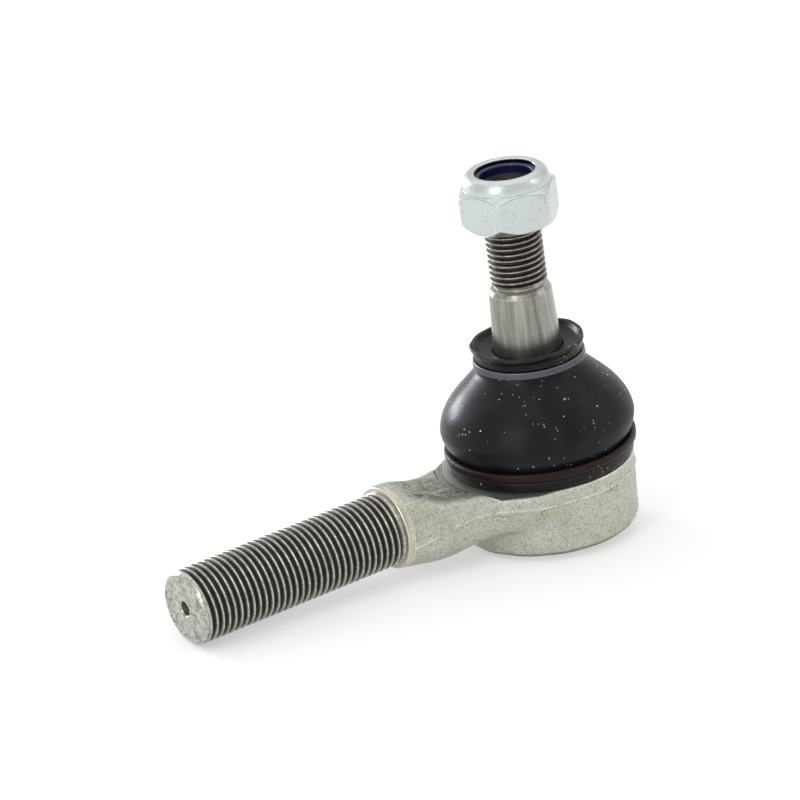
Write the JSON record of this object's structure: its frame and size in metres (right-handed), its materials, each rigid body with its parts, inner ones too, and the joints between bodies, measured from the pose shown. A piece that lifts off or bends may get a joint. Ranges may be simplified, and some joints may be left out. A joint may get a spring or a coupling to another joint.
{
  "type": "tie rod end",
  "caption": "Straight tie rod end: threaded shank, forged socket with a booted ball stud, taper seat and self-locking nut.",
  "frame": {"origin": "centre of the ball, where the stud's axis crosses the shank's axis", "axes": "+Z along the ball stud towards the nut at rest, -X along the threaded shank towards its end"},
  "size_m": [0.1112, 0.0412, 0.08],
  "materials": {
    "zinc_forging": "zinc-plated forging, pale and finely grained",
    "turned_steel": "turned steel, satin",
    "acetal": "natural acetal",
    "spring_steel": "blued spring steel",
    "zinc_plate": "zinc-plated pressed steel",
    "boot_rubber": "black moulded rubber, dusty satin",
    "brown_band": "dark red-brown coated spring band",
    "grey_band": "grey band, satin",
    "nut_zinc": "bright zinc plate",
    "blue_nylon": "dark blue nylon"
  },
  "bodies": {
    "housing_body": {"housing": "zinc_forging", "ball_seat": "acetal", "pressure_cup": "acetal", "disc_spring": "spring_steel", "end_cap": "zinc_plate", "lower_boot_ring": "brown_band"},
    "boot_body": {"dust_boot": "boot_rubber"},
    "lip_body": {"upper_boot_ring": "grey_band"},
    "stud_body": {"ball_stud": "turned_steel"},
    "nut_carrier": {"nylon_insert": "blue_nylon"},
    "nut_body": {"lock_nut": "nut_zinc"}
  },
  "joints": [
    {"name": "swing_fore_aft", "type": "hinge", "parent": "housing_body", "child": "boot_body", "pos_m": [0, 0, 0], "axis": [0, 1, 0], "range_deg": [-18, 18], "deforming": ["dust_boot"]},
    {"name": "swing_sideways", "type": "hinge", "parent": "boot_body", "child": "lip_body", "pos_m": [0, 0, 0], "axis": [1, 0, 0], "range_deg": [-18, 18], "deforming": ["dust_boot"]},
    {"name": "stud_spin", "type": "hinge", "parent": "lip_body", "child": "stud_body", "pos_m": [0, 0, 0], "axis": [0, 0, 1], "continuous": true},
    {"name": "nut_advance", "type": "slide", "parent": "stud_body", "child": "nut_carrier", "axis": [0, 0, 1], "range_m": [-0.014, 0.0025], "deforming": ["nylon_insert"]},
    {"name": "nut_turn", "type": "hinge", "parent": "nut_carrier", "child": "nut_body", "pos_m": [0, 0, 0.0594], "axis": [0, 0, 1], "range_deg": [-3960, 720]}
  ],
  "couplings": [
    {"joint": "nut_advance", "follows": "nut_turn", "m_per_rad": 0.00019894}
  ]
}
